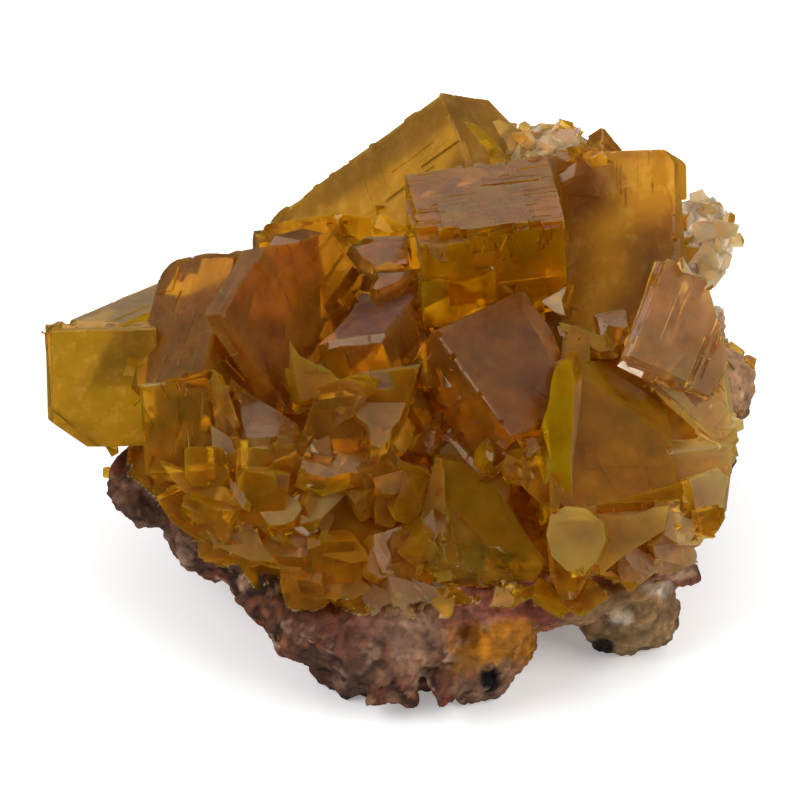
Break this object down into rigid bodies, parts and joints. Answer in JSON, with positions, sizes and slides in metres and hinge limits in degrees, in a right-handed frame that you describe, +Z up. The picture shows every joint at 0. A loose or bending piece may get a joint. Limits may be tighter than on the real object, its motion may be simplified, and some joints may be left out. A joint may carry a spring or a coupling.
{
  "type": "fluorite specimen",
  "caption": "Cluster of see-through amber cubic fluorite crystals grown together on red-brown rock, a hand specimen that lies on its rock base.",
  "frame": {"origin": "middle of the bounding box in plan, on the ground under the rock", "axes": "+Z up, +Y to the back, away from the side that the picture shows, +X to the right as seen from the front"},
  "size_m": [0.0716, 0.0568, 0.0377],
  "materials": {
    "fluorite": "see-through amber crystal, hazy inside, soft-gloss stepped faces",
    "rock": "rough red-brown rock with pale crust, grey knob and orange stains"
  },
  "bodies": {
    "root": {"fluorite_crystals": "fluorite", "matrix_rock": "rock"}
  },
  "joints": []
}
